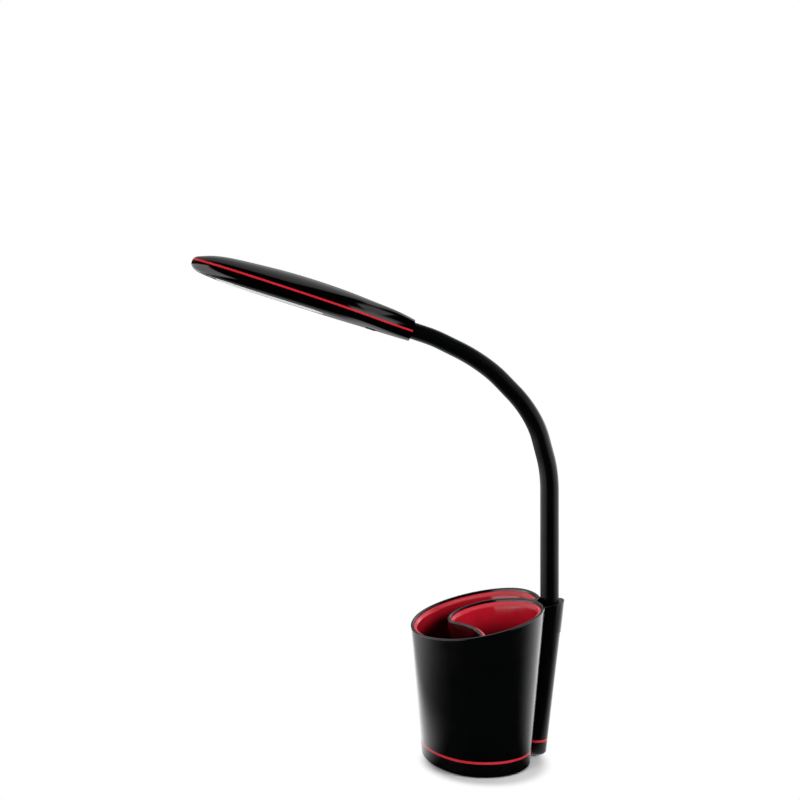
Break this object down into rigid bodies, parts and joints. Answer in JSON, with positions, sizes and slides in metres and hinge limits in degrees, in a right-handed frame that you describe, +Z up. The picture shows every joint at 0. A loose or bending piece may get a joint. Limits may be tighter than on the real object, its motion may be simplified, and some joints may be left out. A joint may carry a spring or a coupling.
{
  "type": "desk lamp",
  "caption": "Desk lamp with a long flat light head on a bendable sleeved neck, standing on a round pen cup with curved compartments",
  "frame": {"origin": "on the pad's underside, at the point that the cup's drafted walls lean in towards", "axes": "+Z up, the head reaches over the cup towards -X, the post and neck stand at +X"},
  "size_m": [0.2833, 0.129, 0.3781],
  "materials": {
    "cup_black": "satin black moulded plastic with a soft gloss",
    "base_black": "satin black moulded plastic",
    "cup_red": "gloss red moulded plastic",
    "stripe_red": "gloss red moulded plastic",
    "trim_red": "gloss red moulded plastic",
    "weight_steel": "zinc plated steel plate",
    "screw_steel": "zinc plated steel",
    "pad_rubber": "matt black rubber foam",
    "neck_rubber": "matt black smooth rubber",
    "neck_steel": "wound spring steel",
    "ferrule_metal": "nickel plated",
    "board_green": "green circuit board",
    "led_board_white": "white circuit board",
    "coil_ferrite": "dark ferrite",
    "chip_black": "matt moulded package",
    "socket_black": "matt black nylon",
    "pin_metal": "nickel on brass",
    "head_black": "high gloss black",
    "diffuser_white": "frosted white",
    "tray_white": "white reflector",
    "led_yellow": "phosphor yellow",
    "button_black": "satin black"
  },
  "bodies": {
    "base": {"cup_shell": "cup_black", "crescent_liner": "cup_red", "oval_liner": "cup_red", "base_stripe": "stripe_red", "base_cover": "base_black", "weight_plate": "weight_steel", "antislip_pad": "pad_rubber", "base_screws": "screw_steel", "driver_board": "board_green", "driver_board_screws": "screw_steel", "driver_coil": "coil_ferrite", "driver_chip": "chip_black", "dc_jack": "socket_black", "dc_jack_pin": "pin_metal", "post_collar": "cup_black", "neck_ferrule": "ferrule_metal", "neck_nut": "screw_steel", "neck_root_sleeve": "neck_rubber", "neck_root_core": "neck_steel"},
    "link_01": {"neck_sleeve_01": "neck_rubber", "neck_core_01": "neck_steel"},
    "link_02": {"neck_sleeve_02": "neck_rubber", "neck_core_02": "neck_steel"},
    "link_03": {"neck_sleeve_03": "neck_rubber", "neck_core_03": "neck_steel"},
    "link_04": {"neck_sleeve_04": "neck_rubber", "neck_core_04": "neck_steel"},
    "link_05": {"neck_sleeve_05": "neck_rubber", "neck_core_05": "neck_steel"},
    "link_06": {"neck_sleeve_06": "neck_rubber", "neck_core_06": "neck_steel"},
    "link_07": {"neck_sleeve_07": "neck_rubber", "neck_core_07": "neck_steel"},
    "link_08": {"neck_sleeve_08": "neck_rubber", "neck_core_08": "neck_steel"},
    "link_09": {"neck_sleeve_09": "neck_rubber", "neck_core_09": "neck_steel"},
    "link_10": {"neck_sleeve_10": "neck_rubber", "neck_core_10": "neck_steel"},
    "link_11": {"neck_sleeve_11": "neck_rubber", "neck_core_11": "neck_steel"},
    "head": {"neck_end_sleeve": "neck_rubber", "neck_end_core": "neck_steel", "head_top_shell": "head_black", "head_bottom_shell": "head_black", "head_trim_band": "trim_red", "light_diffuser": "diffuser_white", "light_tray": "tray_white", "led_board": "led_board_white", "leds": "led_yellow", "led_board_screws": "screw_steel", "neck_clamp": "ferrule_metal", "switch_housing": "socket_black", "switch_board": "board_green", "switch_board_screws": "screw_steel"},
    "switch_button": {"switch_button": "button_black", "switch_stem": "button_black"}
  },
  "joints": [
    {"name": "neck_joint_01", "type": "hinge", "parent": "base", "child": "link_01", "pos_m": [0.06098, 0.01134, 0.207], "axis": [0, -1, 0], "range_deg": [-6.5, 2.9]},
    {"name": "neck_joint_02", "type": "hinge", "parent": "link_01", "child": "link_02", "pos_m": [0.05942, 0.01134, 0.22071], "axis": [0, -1, 0], "range_deg": [-8.82, 3.95]},
    {"name": "neck_joint_03", "type": "hinge", "parent": "link_02", "child": "link_03", "pos_m": [0.05578, 0.01134, 0.23402], "axis": [0.9646, 0, 0.2639], "range_deg": [-12, 12]},
    {"name": "neck_joint_04", "type": "hinge", "parent": "link_03", "child": "link_04", "pos_m": [0.05214, 0.01134, 0.24733], "axis": [0, -1, 0], "range_deg": [-12.12, 5.42]},
    {"name": "neck_joint_05", "type": "hinge", "parent": "link_04", "child": "link_05", "pos_m": [0.04579, 0.01134, 0.25959], "axis": [0, -1, 0], "range_deg": [-8.32, 3.72]},
    {"name": "neck_joint_06", "type": "hinge", "parent": "link_05", "child": "link_06", "pos_m": [0.03774, 0.01134, 0.27079], "axis": [0, -1, 0], "range_deg": [-8.7, 7.4]},
    {"name": "neck_joint_07", "type": "hinge", "parent": "link_06", "child": "link_07", "pos_m": [0.02808, 0.01134, 0.28065], "axis": [0.7145, 0, 0.6997], "range_deg": [-12, 12]},
    {"name": "neck_joint_08", "type": "hinge", "parent": "link_07", "child": "link_08", "pos_m": [0.01843, 0.01134, 0.29051], "axis": [0, -1, 0], "range_deg": [-8.62, 7.33]},
    {"name": "neck_joint_09", "type": "hinge", "parent": "link_08", "child": "link_09", "pos_m": [0.0074, 0.01134, 0.29882], "axis": [0, -1, 0], "range_deg": [-5.22, 4.44]},
    {"name": "neck_joint_10", "type": "hinge", "parent": "link_09", "child": "link_10", "pos_m": [-0.00432, 0.01134, 0.30609], "axis": [0, -1, 0], "range_deg": [-6.02, 5.12]},
    {"name": "neck_joint_11", "type": "hinge", "parent": "link_10", "child": "link_11", "pos_m": [-0.01675, 0.01134, 0.31209], "axis": [0.4352, 0, 0.9003], "range_deg": [-12, 12]},
    {"name": "neck_joint_12", "type": "hinge", "parent": "link_11", "child": "head", "pos_m": [-0.02917, 0.01134, 0.3181], "axis": [0, -1, 0], "range_deg": [-7.82, 6.65]},
    {"name": "switch_press", "type": "slide", "parent": "head", "child": "switch_button", "axis": [0.309, 0, 0.9511], "range_m": [0, 0.0005], "stiffness_N_per_m": 900, "springref_m": -0.0003}
  ],
  "couplings": [
    {"joint": "neck_joint_02", "follows": "neck_joint_01", "ratio": 1.3538},
    {"joint": "neck_joint_04", "follows": "neck_joint_01", "ratio": 1.8615},
    {"joint": "neck_joint_05", "follows": "neck_joint_01", "ratio": 1.2769},
    {"joint": "neck_joint_07", "follows": "neck_joint_03", "ratio": 1},
    {"joint": "neck_joint_08", "follows": "neck_joint_06", "ratio": 0.98851},
    {"joint": "neck_joint_09", "follows": "neck_joint_06", "ratio": 0.5977},
    {"joint": "neck_joint_10", "follows": "neck_joint_06", "ratio": 0.68966},
    {"joint": "neck_joint_11", "follows": "neck_joint_03", "ratio": 1},
    {"joint": "neck_joint_12", "follows": "neck_joint_06", "ratio": 0.89655}
  ]
}
